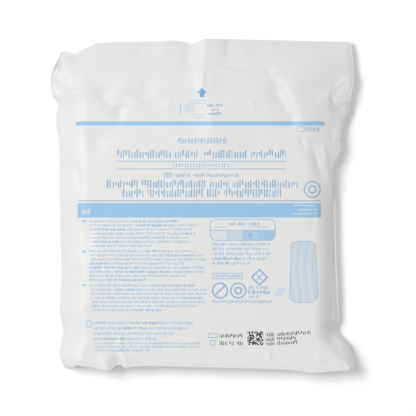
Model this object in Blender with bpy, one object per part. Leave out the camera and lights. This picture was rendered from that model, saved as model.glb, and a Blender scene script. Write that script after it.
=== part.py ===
"""A sealed flat pack: a surgical gown folded inside a peel-open film pouch, lying on its back.

The pouch is two webs of film, a printed front and a plain back, fused to each other in a seal band
all round. Its top end, at +Y, has an empty header between the folded gown and the seal. Tables hold
millimetres, measured from the middle of the pack on the surface that it lies on. The solids are in metres.
"""

from collections import namedtuple

import bmesh
import bpy
import numpy as np

MM = 0.001

# Film and seams
FILM = 1.0
SEAM_GAP = 0.3
SIDE_SEAL_WIDTH = 4.0
NEAR_SEAL_WIDTH = 1.5
HEADER_SEAL_WIDTH = 8.0
EDGE_SOFTNESS = 2.0
LEVEL_ANGLE = 0.002

# The bulge of each web: its height, and how far in from the seal it reaches that at the two ends of the pack
TOP_HEIGHT = 28.0
CROWN = 2.2
TOP_NEAR_RUN = 4.5
TOP_FAR = 104.0
REST_NEAR_RUN = 10.0
REST_FAR = 106.0

# The folded gown's own block
GOWN_LEFT, GOWN_RIGHT, GOWN_NEAR, GOWN_FAR = -109.0, 94.0, -128.0, 106.0
GOWN_CORNER_RADIUS = 16.0
GOWN_LAYERS = 6
LAYER_GROOVE = 1.2
GOWN_ROUNDING = 5.5
GOWN_CORNER_STEPS = 6
RINGS_PER_LAYER = 3
GOWN_ROOM = 1.6

# Grid lines: the share of the width or length where each stretch ends, and the cells in it
Stretch = namedtuple("Stretch", "end cells")
ACROSS = (
    Stretch(0.10, 6),
    Stretch(0.45, 11),
    Stretch(0.545, 8),
    Stretch(0.84, 11),
    Stretch(1.00, 9),
)
ALONG = (
    Stretch(0.005, 1),
    Stretch(0.03, 4),
    Stretch(0.11, 4),
    Stretch(0.68, 12),
    Stretch(0.90, 11),
    Stretch(0.97, 4),
    Stretch(1.00, 2),
)

# The pack's outline from above: how far out the film's edge is, at points along each side
EdgePoint = namedtuple("EdgePoint", "along out")
LEFT_EDGE = (
    EdgePoint(-136.6, -118.7),
    EdgePoint(-131.9, -120.9),
    EdgePoint(-125.1, -122.7),
    EdgePoint(-117.5, -121.3),
    EdgePoint(-102.6, -119.6),
    EdgePoint(-94.5, -121.5),
    EdgePoint(-87.7, -122.7),
    EdgePoint(-79.2, -122.0),
    EdgePoint(-53.7, -121.1),
    EdgePoint(-25.7, -121.8),
    EdgePoint(33.8, -123.0),
    EdgePoint(56.8, -123.3),
    EdgePoint(67.0, -124.9),
    EdgePoint(74.8, -125.8),
    EdgePoint(86.5, -123.4),
    EdgePoint(90.8, -126.0),
    EdgePoint(95.9, -129.4),
    EdgePoint(109.9, -129.6),
    EdgePoint(116.3, -127.0),
    EdgePoint(124.8, -123.3),
    EdgePoint(131.2, -120.6),
)
RIGHT_EDGE = (
    EdgePoint(-139.7, 128.3),
    EdgePoint(-136.2, 130.1),
    EdgePoint(-126.1, 127.1),
    EdgePoint(-118.3, 124.7),
    EdgePoint(-110.3, 116.4),
    EdgePoint(-103.9, 112.7),
    EdgePoint(-100.5, 113.0),
    EdgePoint(-96.8, 115.5),
    EdgePoint(-89.4, 115.5),
    EdgePoint(-68.7, 114.7),
    EdgePoint(-34.9, 113.1),
    EdgePoint(14.3, 112.3),
    EdgePoint(29.6, 111.6),
    EdgePoint(35.5, 113.5),
    EdgePoint(42.3, 117.1),
    EdgePoint(48.3, 119.6),
    EdgePoint(56.8, 118.4),
    EdgePoint(65.3, 119.1),
    EdgePoint(71.7, 121.0),
    EdgePoint(82.3, 125.5),
    EdgePoint(92.9, 124.9),
    EdgePoint(104.6, 128.1),
    EdgePoint(111.2, 128.9),
    EdgePoint(129.0, 127.6),
    EdgePoint(139.4, 125.6),
)
NEAR_EDGE = (
    EdgePoint(-118.7, -136.6),
    EdgePoint(-111.1, -137.2),
    EdgePoint(-108.0, -135.0),
    EdgePoint(-96.6, -136.7),
    EdgePoint(-85.6, -139.2),
    EdgePoint(-79.6, -140.3),
    EdgePoint(-74.5, -135.3),
    EdgePoint(-70.7, -134.5),
    EdgePoint(-67.6, -137.2),
    EdgePoint(-49.0, -135.7),
    EdgePoint(-22.3, -136.6),
    EdgePoint(37.7, -138.0),
    EdgePoint(71.7, -139.1),
    EdgePoint(91.6, -142.1),
    EdgePoint(110.8, -140.2),
    EdgePoint(128.3, -139.7),
)
FAR_EDGE = (
    EdgePoint(-120.6, 131.3),
    EdgePoint(-115.3, 131.1),
    EdgePoint(-108.3, 129.2),
    EdgePoint(-103.4, 132.8),
    EdgePoint(-97.5, 134.8),
    EdgePoint(-92.4, 138.2),
    EdgePoint(-79.6, 139.0),
    EdgePoint(-41.4, 140.0),
    EdgePoint(-23.5, 140.5),
    EdgePoint(-13.8, 138.4),
    EdgePoint(-8.4, 138.0),
    EdgePoint(1.1, 141.9),
    EdgePoint(30.9, 141.4),
    EdgePoint(94.6, 140.1),
    EdgePoint(125.6, 139.4),
)

# Where the front web's flat top and the back web's flat rest end, at points along their left and right sides
TOP_LEFT = (
    EdgePoint(-130.0, -110.0),
    EdgePoint(-110.0, -107.0),
    EdgePoint(70.0, -107.0),
    EdgePoint(90.0, -103.0),
    EdgePoint(106.0, -96.0),
)
TOP_RIGHT = (
    EdgePoint(-129.0, 117.0),
    EdgePoint(-122.0, 111.0),
    EdgePoint(-114.0, 99.0),
    EdgePoint(-106.0, 94.0),
    EdgePoint(-60.0, 92.0),
    EdgePoint(20.0, 89.0),
    EdgePoint(50.0, 94.0),
    EdgePoint(74.0, 99.0),
    EdgePoint(86.0, 96.0),
    EdgePoint(98.0, 84.0),
    EdgePoint(120.0, 78.0),
)
REST_LEFT = (EdgePoint(0.0, -108.0),)
REST_RIGHT = (EdgePoint(-80.0, 98.0), EdgePoint(60.0, 98.0), EdgePoint(100.0, 92.0))

# How high the seam between the webs lies, at the left, middle and right of each row along the pack
SeamRow = namedtuple("SeamRow", "along left middle right")
SEAM = (
    SeamRow(-142.0, 4.5, 6.5, 5.0),
    SeamRow(-110.0, 7.5, 7.0, 7.0),
    SeamRow(0.0, 9.0, 9.0, 9.0),
    SeamRow(70.0, 10.0, 10.0, 10.0),
    SeamRow(112.0, 11.5, 14.0, 12.5),
    SeamRow(133.0, 13.0, 17.0, 15.0),
    SeamRow(142.0, 11.0, 14.5, 12.5),
)

# The largest folds, each a ridge (height above 0) or a trough (below 0), along a bow that starts at x0, y0,
# is drawn towards x1, y1 and ends at x2, y2
Fold = namedtuple("Fold", "x0 y0 x1 y1 x2 y2 width0 width2 height0 height2")
FOLDS = (
    # The pleat in the middle of the header, and the soft ridge that it runs out into
    Fold(1.9, 143.5, 1.5, 123.0, 0.3, 99.0, 5.0, 2.3, 4.2, 1.1),
    Fold(-8.2, 142.0, -6.1, 123.0, -1.4, 100.0, 4.0, 2.3, -2.6, -0.9),
    Fold(8.0, 125.0, 7.0, 114.0, 5.4, 104.0, 4.0, 3.5, -0.8, -1.2),
    Fold(0.5, 96.0, 2.5, 80.0, 3.0, 62.0, 5.0, 7.0, 0.8, 0.6),
    # Header and top right: the gown's far edge, and the diagonal fold from its corner
    Fold(8.8, 119.7, 35.0, 117.0, 54.7, 114.6, 4.0, 4.5, -0.9, -1.6),
    Fold(54.7, 114.6, 68.3, 95.0, 76.8, 78.9, 4.5, 4.5, -2.0, -1.5),
    Fold(66.6, 109.5, 80.2, 92.5, 87.0, 77.2, 6.0, 6.0, 1.4, 1.2),
    # Top left: a diagonal fold and the humps beside it
    Fold(-91.5, 102.7, -84.7, 92.5, -77.1, 79.7, 4.5, 4.0, -2.0, -1.2),
    Fold(-84.7, 102.7, -77.1, 92.5, -69.4, 82.3, 5.0, 5.0, 1.3, 1.1),
    Fold(-64.3, 95.0, -53.0, 93.0, -43.9, 89.9, 4.0, 4.0, -0.9, -0.9),
    Fold(-69.4, 88.0, -54.0, 85.0, -37.0, 87.0, 5.0, 5.0, 0.9, 0.9),
    # The left shoulder
    Fold(-101.7, 68.7, -96.6, 56.8, -91.5, 44.9, 5.0, 4.0, -1.5, -0.7),
    Fold(-106.0, 39.8, -103.4, 22.8, -100.9, 4.1, 4.0, 4.0, -1.5, -0.8),
    Fold(-108.5, 56.8, -101.7, 46.6, -96.6, 34.7, 4.0, 4.0, 1.0, 0.8),
    # The right shoulder and wall
    Fold(93.8, 48.3, 98.9, 29.6, 103.1, 7.5, 5.0, 4.5, -2.4, -1.5),
    Fold(100.6, 56.8, 104.8, 39.8, 108.2, 18.5, 4.0, 4.0, 1.8, 1.0),
    Fold(107.4, 101.0, 109.1, 87.4, 109.1, 70.4, 4.5, 6.0, -2.6, -2.2),
    Fold(110.8, 104.4, 118.0, 104.5, 126.1, 107.8, 4.0, 4.0, 1.4, 0.6),
    Fold(100.6, 5.8, 103.1, -41.0, 103.1, -92.8, 4.0, 4.0, -1.6, -2.6),
    Fold(107.4, -7.0, 108.2, -45.0, 109.1, -89.4, 3.5, 3.5, 1.0, 1.4),
    # The flared corner, near and right
    Fold(100.6, -92.8, 105.7, -108.1, 115.9, -121.7, 5.0, 4.0, -3.0, -1.5),
    Fold(113.0, -108.0, 122.7, -121.7, 127.0, -135.0, 4.5, 5.0, 0.8, 1.8),
    Fold(81.9, -126.0, 105.0, -126.0, 124.4, -135.3, 5.0, 5.0, 0.8, 1.8),
    # The pleat in the near edge, and the near left corner
    Fold(-73.7, -121.7, -73.7, -130.2, -74.5, -137.0, 4.0, 3.5, -1.2, -2.6),
    Fold(-83.0, -126.8, -81.0, -133.0, -80.5, -139.6, 4.0, 4.0, 0.9, 2.2),
    Fold(-67.0, -126.8, -66.0, -132.0, -66.0, -137.9, 4.0, 3.5, 0.8, 1.8),
    Fold(-118.7, -135.3, -112.0, -128.0, -105.1, -121.7, 5.0, 5.0, 1.2, 0.8),
    Fold(-122.0, -102.2, -117.0, -103.0, -110.2, -104.7, 6.0, 6.0, -1.6, -0.8),
    # The ear at the far left corner, where the header is turned in
    Fold(-123.8, 110.3, -118.7, 97.6, -111.9, 85.7, 4.0, 4.0, -2.4, -1.0),
    Fold(-129.0, 104.4, -124.7, 93.3, -115.3, 80.6, 4.0, 4.0, 2.0, 1.0),
    Fold(-120.4, 131.6, -113.6, 124.8, -113.6, 107.8, 5.0, 5.0, 2.8, 0.8),
    Fold(-122.1, 124.0, -124.0, 119.0, -124.7, 114.6, 4.0, 4.0, -1.6, -1.6),
)
FOLD_STEPS = 8

# Colours, roughness and metallic value of each finish
Finish = namedtuple("Finish", "color roughness metallic")
FRONT_FILM = Finish((0.86, 0.86, 0.85, 1.0), 0.45, 0.0)
BACK_FILM = Finish((0.84, 0.85, 0.85, 1.0), 0.45, 0.0)
GOWN_CLOTH = Finish((0.22, 0.42, 0.62, 1.0), 0.9, 0.0)


def clear_scene():
    for thing in list(bpy.data.objects):
        bpy.data.objects.remove(thing)


def edge_at(table, along):
    """The outline's reach at places along one side, its corners softened over a few millimetres."""
    places = [row.along for row in table]
    reaches = [row.out for row in table]
    shifts = (-EDGE_SOFTNESS, 0.0, EDGE_SOFTNESS)
    return sum(np.interp(along + shift, places, reaches) for shift in shifts) / len(shifts)


def stations(stretches):
    """Shares from 0 to 1 where the grid lines lie."""
    shares, start = [0.0], 0.0
    for stretch in stretches:
        shares.extend(np.linspace(start, stretch.end, stretch.cells + 1)[1:])
        start = stretch.end
    return np.array(shares)


def footprint(across, along):
    """Where the grid's points lie from above: shares of width and length, fitted between the four edges."""
    x = -125.0 + 250.0 * across
    y = -138.0 + 276.0 * along
    for _ in range(6):
        left, right = edge_at(LEFT_EDGE, y), edge_at(RIGHT_EDGE, y)
        x = left + (right - left) * across
        near, far = edge_at(NEAR_EDGE, x), edge_at(FAR_EDGE, x)
        y = near + (far - near) * along
    return x, y


def rounded_rise(outside, inside, place):
    """0 at the seal, rising steeply and rounding off to 1 on the flat top."""
    share = np.clip((place - outside) / (inside - outside), 0.0, 1.0)
    return np.sin(share * np.pi / 2)


def fullness(x, y, left, right, near_run, far):
    """From 0 at the seal bands to 1 over the flat of one web."""
    near_seal = edge_at(NEAR_EDGE, x) + NEAR_SEAL_WIDTH
    return (
        rounded_rise(edge_at(LEFT_EDGE, y) + SIDE_SEAL_WIDTH, edge_at(left, y), x)
        * rounded_rise(edge_at(RIGHT_EDGE, y) - SIDE_SEAL_WIDTH, edge_at(right, y), x)
        * rounded_rise(near_seal, near_seal + near_run, y)
        * rounded_rise(edge_at(FAR_EDGE, x) - HEADER_SEAL_WIDTH, far, y)
    )


def seam_height(x, y):
    rows = [row.along for row in SEAM]
    left, middle, right = (np.interp(y, rows, [row[k] for row in SEAM]) for k in (1, 2, 3))
    share = np.clip(x / 125.0, -1.0, 1.0)
    side = np.where(share < 0, left, right)
    return middle + (side - middle) * share * share


def fold_height(fold, x, y):
    """What one fold adds at points of the film: a soft ridge or trough round its bowed line."""
    nearest = np.full(np.shape(x), np.inf)
    share = np.zeros(np.shape(x))
    steps = np.linspace(0.0, 1.0, FOLD_STEPS + 1)
    line_x = (1 - steps) ** 2 * fold.x0 + 2 * steps * (1 - steps) * fold.x1 + steps**2 * fold.x2
    line_y = (1 - steps) ** 2 * fold.y0 + 2 * steps * (1 - steps) * fold.y1 + steps**2 * fold.y2
    for k in range(FOLD_STEPS):
        run_x, run_y = line_x[k + 1] - line_x[k], line_y[k + 1] - line_y[k]
        reach = (x - line_x[k]) * run_x + (y - line_y[k]) * run_y
        part = np.clip(reach / (run_x**2 + run_y**2), 0.0, 1.0)
        away = np.hypot(x - line_x[k] - part * run_x, y - line_y[k] - part * run_y)
        share = np.where(away < nearest, (k + part) / FOLD_STEPS, share)
        nearest = np.minimum(nearest, away)
    width = fold.width0 + (fold.width2 - fold.width0) * share
    height = fold.height0 + (fold.height2 - fold.height0) * share
    return height * np.exp(-((nearest / width) ** 2))


def folds(x, y):
    return sum(fold_height(fold, x, y) for fold in FOLDS)


def front_inner(x, y):
    """Height of the front web's inner face."""
    seam = seam_height(x, y) + SEAM_GAP / 2
    crown = CROWN * np.clip(1 - (x / 110.0) ** 2, 0, 1) * np.clip(1 - (y / 120.0) ** 2, 0, 1)
    rise = fullness(x, y, TOP_LEFT, TOP_RIGHT, TOP_NEAR_RUN, TOP_FAR)
    return seam + (TOP_HEIGHT + crown - seam) * rise + folds(x, y)


def back_inner(x, y):
    """Height of the back web's inner face: level where the pack rests, and along the seam at the edges."""
    seam = seam_height(x, y) - SEAM_GAP / 2
    rest = fullness(x, y, REST_LEFT, REST_RIGHT, REST_NEAR_RUN, REST_FAR)
    return seam + (FILM - seam) * rest + folds(x, y) * (1 - rest)


def sheet_normals(points):
    """Upward unit normals of a grid of points."""
    across = np.gradient(points, axis=0)
    along = np.gradient(points, axis=1)
    normals = np.cross(across, along)
    return normals / np.linalg.norm(normals, axis=2, keepdims=True)


def make_object(name, mesh_data, finish):
    mesh = bpy.data.meshes.new(name)
    mesh_data.to_mesh(mesh)
    mesh_data.free()
    mesh.shade_smooth()
    thing = bpy.data.objects.new(name, mesh)
    bpy.context.scene.collection.objects.link(thing)
    material = bpy.data.materials.new(name)
    material.use_nodes = True
    surface = material.node_tree.nodes["Principled BSDF"]
    surface.inputs["Base Color"].default_value = finish.color
    surface.inputs["Roughness"].default_value = finish.roughness
    surface.inputs["Metallic"].default_value = finish.metallic
    mesh.materials.append(material)
    return thing


def film_solid(upper, lower):
    """A closed wall of film between two grids of points, with a rim round its four edges."""
    mesh = bmesh.new()
    columns, rows = upper.shape[:2]
    top, bottom = (
        [[mesh.verts.new(point * MM) for point in column] for column in grid] for grid in (upper, lower)
    )
    for i in range(columns - 1):
        for j in range(rows - 1):
            mesh.faces.new((top[i][j], top[i + 1][j], top[i + 1][j + 1], top[i][j + 1]))
            mesh.faces.new((bottom[i][j], bottom[i][j + 1], bottom[i + 1][j + 1], bottom[i + 1][j]))
    rim = [(i, 0) for i in range(columns)]
    rim += [(columns - 1, j) for j in range(1, rows)]
    rim += [(i, rows - 1) for i in range(columns - 2, -1, -1)]
    rim += [(0, j) for j in range(rows - 2, 0, -1)]
    for (i, j), (k, m) in zip(rim, rim[1:] + rim[:1]):
        mesh.faces.new((top[i][j], bottom[i][j], bottom[k][m], top[k][m]))
    return mesh


def film_grid(height):
    """The grid of points of one inner face, from its height over the pack's outline."""
    across, along = np.meshgrid(stations(ACROSS), stations(ALONG), indexing="ij")
    x, y = footprint(across, along)
    return np.stack([x, y, height(x, y)], axis=2)


def build_front_web():
    inner = film_grid(front_inner)
    outer = inner + FILM * sheet_normals(inner)
    return make_object("front_web", film_solid(outer, inner), FRONT_FILM)


def build_back_web():
    inner = film_grid(back_inner)
    outer = inner - FILM * sheet_normals(inner)
    outer[:, :, 2] = np.maximum(outer[:, :, 2], 0.0)
    solid = film_solid(inner, outer)
    solid.normal_update()
    level = [edge for edge in solid.edges if abs(edge.verts[0].co.z - edge.verts[1].co.z) < 1e-7]
    bmesh.ops.dissolve_limit(solid, angle_limit=LEVEL_ANGLE, verts=solid.verts, edges=level)
    return make_object("back_web", solid, BACK_FILM)


def gown_outline(inset):
    """A rounded rectangle, drawn in from the folded gown's sides."""
    corners = (
        (GOWN_RIGHT, GOWN_FAR, 0.0),
        (GOWN_LEFT, GOWN_FAR, 0.5),
        (GOWN_LEFT, GOWN_NEAR, 1.0),
        (GOWN_RIGHT, GOWN_NEAR, 1.5),
    )
    points = []
    for corner_x, corner_y, start in corners:
        middle_x = corner_x - np.copysign(GOWN_CORNER_RADIUS, corner_x)
        middle_y = corner_y - np.copysign(GOWN_CORNER_RADIUS, corner_y)
        radius = GOWN_CORNER_RADIUS - inset
        for turn in np.linspace(start, start + 0.5, GOWN_CORNER_STEPS) * np.pi:
            points.append((middle_x + radius * np.cos(turn), middle_y + radius * np.sin(turn)))
    return points


def build_folded_gown():
    """The folded gown as one rounded block, with a groove round its sides between each two folded layers."""
    bottom = FILM + SEAM_GAP
    top = TOP_HEIGHT - GOWN_ROOM
    middle, half = (top + bottom) / 2, (top - bottom) / 2
    levels = np.linspace(bottom, top, GOWN_LAYERS * RINGS_PER_LAYER + 1)
    mesh = bmesh.new()
    rings = []
    for k, level in enumerate(levels):
        groove = LAYER_GROOVE if k % RINGS_PER_LAYER == 0 else 0.0
        lean = abs(level - middle) / half
        inset = GOWN_ROUNDING * lean**3 + groove
        rings.append([mesh.verts.new((x * MM, y * MM, level * MM)) for x, y in gown_outline(inset)])
    for lower, upper in zip(rings, rings[1:]):
        for k in range(len(lower)):
            n = (k + 1) % len(lower)
            mesh.faces.new((lower[k], lower[n], upper[n], upper[k]))
    mesh.faces.new(rings[-1])
    mesh.faces.new(rings[0][::-1])
    return make_object("folded_gown", mesh, GOWN_CLOTH)


clear_scene()
build_front_web()
build_back_web()
build_folded_gown()
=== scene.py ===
from collections import namedtuple

import bpy
import numpy as np
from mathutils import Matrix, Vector


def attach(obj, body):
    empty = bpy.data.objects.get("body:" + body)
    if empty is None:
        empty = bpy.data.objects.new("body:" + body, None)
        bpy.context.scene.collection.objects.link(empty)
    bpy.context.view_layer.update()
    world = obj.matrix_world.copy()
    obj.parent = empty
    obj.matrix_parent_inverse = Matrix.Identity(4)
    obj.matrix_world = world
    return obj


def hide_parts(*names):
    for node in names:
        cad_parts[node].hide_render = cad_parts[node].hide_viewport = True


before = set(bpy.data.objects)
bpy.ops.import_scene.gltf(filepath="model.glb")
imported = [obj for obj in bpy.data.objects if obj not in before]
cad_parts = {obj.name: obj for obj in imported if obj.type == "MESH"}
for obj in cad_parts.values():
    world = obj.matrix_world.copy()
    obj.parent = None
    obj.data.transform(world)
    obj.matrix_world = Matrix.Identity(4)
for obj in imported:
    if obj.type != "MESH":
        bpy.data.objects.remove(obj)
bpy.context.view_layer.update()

MM = 0.001


# The folded gown: a large blue gown, folded flat by hand with its towels inside. It is spunbonded cloth,
# pressed all over with small bond points, and lies loose between the two webs of the pouch. Its folded
# layers are like slabs with rounded sides, a little out of line with each other.

# All sizes and places are in millimetres, from the middle of the pack's outline on the table
GOWN_LEFT, GOWN_RIGHT, GOWN_NEAR, GOWN_FAR = -109.0, 94.0, -128.0, 106.0
GOWN_BOTTOM, GOWN_TOP = 1.3, 25.4
GOWN_CORNER_RADIUS = 16.0
GOWN_LAYERS = 6
LAYER_GAP = 0.2
LAYER_BULGE = 1.6
GOWN_ROUNDING = 7.0
BOND_PITCH = 1.6 * MM


class Amount:
    """A number, colour or vector that varies over a surface. Operators on it add nodes to its material."""

    def __init__(self, tree, socket):
        self.tree, self.socket = tree, socket

    def worked(self, operation, *terms):
        node = self.tree.nodes.new("ShaderNodeMath")
        node.operation = operation
        for place, term in zip(node.inputs, terms):
            if isinstance(term, Amount):
                self.tree.links.new(term.socket, place)
            else:
                place.default_value = term
        return Amount(self.tree, node.outputs[0])

    def __add__(self, other):
        return self.worked("ADD", self, other)

    __radd__ = __add__

    def __sub__(self, other):
        return self.worked("SUBTRACT", self, other)

    def __rsub__(self, other):
        return self.worked("SUBTRACT", other, self)

    def __mul__(self, other):
        return self.worked("MULTIPLY", self, other)

    __rmul__ = __mul__

    def __truediv__(self, other):
        return self.worked("DIVIDE", self, other)

    def __mod__(self, other):
        return self.worked("FLOORED_MODULO", self, other)

    def __lt__(self, other):
        return self.worked("LESS_THAN", self, other)

    def __gt__(self, other):
        return self.worked("GREATER_THAN", self, other)

    def __abs__(self):
        return self.worked("ABSOLUTE", self)

    def larger(self, other):
        return self.worked("MAXIMUM", self, other)

    def smaller(self, other):
        return self.worked("MINIMUM", self, other)

    def floor(self):
        return self.worked("FLOOR", self)

    def sine(self):
        return self.worked("SINE", self)

    def root(self):
        return self.worked("SQRT", self)


class Finish:
    """A material: one Principled shader, with nodes for what varies over the surface."""

    def __init__(self, name, **settings):
        self.material = bpy.data.materials.new(name)
        self.material.use_nodes = True
        self.tree = self.material.node_tree
        self.shader = self.tree.nodes["Principled BSDF"]
        for socket, value in settings.items():
            self.shader.inputs[socket.replace("_", " ")].default_value = value

    def node(self, kind, settings, sockets, output=0):
        node = self.tree.nodes.new(kind)
        for key, value in settings.items():
            setattr(node, key, value)
        for key, value in sockets.items():
            if isinstance(value, Amount):
                self.tree.links.new(value.socket, node.inputs[key])
            else:
                node.inputs[key].default_value = value
        return Amount(self.tree, node.outputs[output])

    def noise(self, place, scale, detail=2.0, roughness=0.5):
        sockets = {"Vector": place, "Scale": scale, "Detail": detail, "Roughness": roughness}
        return self.node("ShaderNodeTexNoise", {}, sockets)

    def blend(self, first, second, share):
        return self.node("ShaderNodeMix", {"data_type": "RGBA"}, {0: share, 6: first, 7: second}, 2)

    def raise_by(self, height, distance):
        return self.node("ShaderNodeBump", {}, {"Strength": 1.0, "Distance": distance, "Height": height})

    def feed(self, **fed):
        for socket, amount in fed.items():
            self.tree.links.new(amount.socket, self.shader.inputs[socket.replace("_", " ")])


def nonwoven():
    finish = Finish("gown_cloth", Roughness=0.9, Sheen_Weight=0.25, Sheen_Roughness=0.5)
    place = finish.node("ShaderNodeTexCoord", {}, {}, "Object")
    bonds = finish.node(
        "ShaderNodeTexVoronoi", {"feature": "F1"},
        {"Vector": place, "Scale": 1 / BOND_PITCH, "Randomness": 0.25},
    )
    dents = bonds < 0.32
    fibres = finish.noise(place, 900.0, 4.0, 0.7)
    cloudy = finish.noise(place, 60.0)
    blue = finish.blend((0.16, 0.36, 0.60, 1.0), (0.24, 0.46, 0.70, 1.0), fibres * 0.6 + cloudy * 0.4)
    finish.feed(
        Base_Color=finish.blend(blue, (0.12, 0.30, 0.52, 1.0), dents * 0.6),
        Normal=finish.raise_by(fibres * 0.5 - dents, 0.00012),
    )
    return finish.material


def make_object(name, points, faces):
    mesh = bpy.data.meshes.new(name)
    mesh.from_pydata(points, [], faces)
    mesh.shade_smooth()
    thing = bpy.data.objects.new(name, mesh)
    bpy.context.scene.collection.objects.link(thing)
    return thing


def gown_outline(inset, steps=8):
    """A rounded rectangle round the origin, drawn in from the folded gown's sides."""
    half_x, half_y = (GOWN_RIGHT - GOWN_LEFT) / 2, (GOWN_FAR - GOWN_NEAR) / 2
    radius = GOWN_CORNER_RADIUS - inset
    points = []
    for side_x, side_y, start in ((1, 1, 0.0), (-1, 1, 0.5), (-1, -1, 1.0), (1, -1, 1.5)):
        middle_x = side_x * (half_x - GOWN_CORNER_RADIUS)
        middle_y = side_y * (half_y - GOWN_CORNER_RADIUS)
        for turn in np.linspace(start, start + 0.5, steps) * np.pi:
            points.append((middle_x + radius * np.cos(turn), middle_y + radius * np.sin(turn)))
    return points


def one_layer(height):
    """One folded layer of cloth: a slab round the origin whose sides bulge like a fold."""
    points, faces = [], []
    turns = np.linspace(-np.pi / 2, np.pi / 2, 7)
    for turn in turns:
        ring = gown_outline(LAYER_BULGE * (1 - np.cos(turn)))
        points.extend((x * MM, y * MM, height / 2 * np.sin(turn) * MM) for x, y in ring)
    count = len(ring)
    for level in range(len(turns) - 1):
        for k in range(count):
            n = (k + 1) % count
            low, high = level * count, (level + 1) * count
            faces.append((low + k, low + n, high + n, high + k))
    faces.append(tuple(range((len(turns) - 1) * count, len(turns) * count)))
    faces.append(tuple(range(count - 1, -1, -1)))
    return make_object("one_folded_layer", points, faces)


def stack_tree(material):
    """Stacks copies of one folded layer, smaller towards the top and bottom and a little out of line."""
    tree = bpy.data.node_groups.new("folded_stack", "GeometryNodeTree")
    for name, kind in (
        ("Layer", "NodeSocketObject"),
        ("Layers", "NodeSocketInt"),
        ("Pitch", "NodeSocketFloat"),
        ("Start", "NodeSocketVector"),
        ("Taper", "NodeSocketFloat"),
        ("Slip", "NodeSocketFloat"),
        ("Turn", "NodeSocketFloat"),
        ("Seed", "NodeSocketInt"),
    ):
        tree.interface.new_socket(name, in_out="INPUT", socket_type=kind)
    tree.interface.new_socket("Stack", in_out="OUTPUT", socket_type="NodeSocketGeometry")

    def node(kind, settings, sockets):
        made = tree.nodes.new(kind)
        for key, value in settings.items():
            setattr(made, key, value)
        for key, value in sockets.items():
            if isinstance(value, bpy.types.NodeSocket):
                tree.links.new(value, made.inputs[key])
            else:
                made.inputs[key].default_value = value
        return made.outputs

    given = node("NodeGroupInput", {}, {})
    step = node("ShaderNodeCombineXYZ", {}, {"Z": given["Pitch"]})
    rise = node(
        "GeometryNodeMeshLine", {},
        {"Count": given["Layers"], "Start Location": given["Start"], "Offset": step[0]},
    )
    index = node("GeometryNodeInputIndex", {}, {})
    last = node("ShaderNodeMath", {"operation": "SUBTRACT"}, {0: given["Layers"], 1: 1.0})
    share = node("ShaderNodeMath", {"operation": "DIVIDE"}, {0: index[0], 1: last[0]})
    lean = node("ShaderNodeMath", {"operation": "MULTIPLY_ADD"}, {0: share[0], 1: 2.0, 2: -1.0})
    size = node("ShaderNodeMath", {"operation": "ABSOLUTE"}, {0: lean[0]})
    bend = node("ShaderNodeMath", {"operation": "POWER"}, {0: size[0], 1: 3.0})
    drawn = node("ShaderNodeMath", {"operation": "MULTIPLY"}, {0: bend[0], 1: given["Taper"]})
    scale = node("ShaderNodeMath", {"operation": "SUBTRACT"}, {0: 1.0, 1: drawn[0]})
    scales = node("ShaderNodeCombineXYZ", {}, {"X": scale[0], "Y": scale[0], "Z": 1.0})
    low_slip = node("ShaderNodeMath", {"operation": "MULTIPLY"}, {0: given["Slip"], 1: -1.0})
    low_corner = node("ShaderNodeCombineXYZ", {}, {"X": low_slip[0], "Y": low_slip[0]})
    high_corner = node("ShaderNodeCombineXYZ", {}, {"X": given["Slip"], "Y": given["Slip"]})
    slip = node(
        "FunctionNodeRandomValue", {"data_type": "FLOAT_VECTOR"},
        {0: low_corner[0], 1: high_corner[0], "Seed": given["Seed"]},
    )
    moved = node("GeometryNodeSetPosition", {}, {"Geometry": rise[0], "Offset": slip[0]})
    low_turn = node("ShaderNodeMath", {"operation": "MULTIPLY"}, {0: given["Turn"], 1: -1.0})
    low_turns = node("ShaderNodeCombineXYZ", {}, {"Z": low_turn[0]})
    high_turns = node("ShaderNodeCombineXYZ", {}, {"Z": given["Turn"]})
    turn = node(
        "FunctionNodeRandomValue", {"data_type": "FLOAT_VECTOR"},
        {0: low_turns[0], 1: high_turns[0], "Seed": given["Seed"]},
    )
    layer = node("GeometryNodeObjectInfo", {}, {"Object": given["Layer"]})
    laid = node(
        "GeometryNodeInstanceOnPoints", {},
        {"Points": moved[0], "Instance": layer["Geometry"], "Rotation": turn[0], "Scale": scales[0]},
    )
    real = node("GeometryNodeRealizeInstances", {}, {"Geometry": laid[0]})
    dyed = node("GeometryNodeSetMaterial", {}, {"Geometry": real[0], "Material": material})
    node("NodeGroupOutput", {}, {"Stack": dyed[0]})
    return tree


def stacked(name, tree, **inputs):
    """The tree's result as a plain mesh object."""
    thing = make_object(name, [], [])
    modifier = thing.modifiers.new("stack", "NODES")
    modifier.node_group = tree
    for item in tree.interface.items_tree:
        if item.in_out == "INPUT" and item.name in inputs:
            modifier[item.identifier] = inputs[item.name]
    bpy.context.view_layer.update()
    evaluated = thing.evaluated_get(bpy.context.evaluated_depsgraph_get())
    mesh = bpy.data.meshes.new_from_object(evaluated)
    thing.modifiers.remove(modifier)
    thing.data = mesh
    return thing


layer_pitch = (GOWN_TOP - GOWN_BOTTOM) / GOWN_LAYERS
layer = one_layer(layer_pitch - LAYER_GAP)
gown_start = Vector((
    (GOWN_LEFT + GOWN_RIGHT) / 2 * MM,
    (GOWN_NEAR + GOWN_FAR) / 2 * MM,
    (GOWN_BOTTOM + layer_pitch / 2) * MM,
))
gown = stacked(
    "gown_folded_in_layers", stack_tree(nonwoven()), Layer=layer, Layers=GOWN_LAYERS, Pitch=layer_pitch * MM,
    Start=gown_start, Taper=GOWN_ROUNDING * 2 / (GOWN_RIGHT - GOWN_LEFT), Slip=0.5 * MM, Turn=0.002, Seed=4,
)
bpy.data.objects.remove(layer)
gown.data.set_sharp_from_angle(angle=0.9)
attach(gown, "root")
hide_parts("folded_gown")


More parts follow.
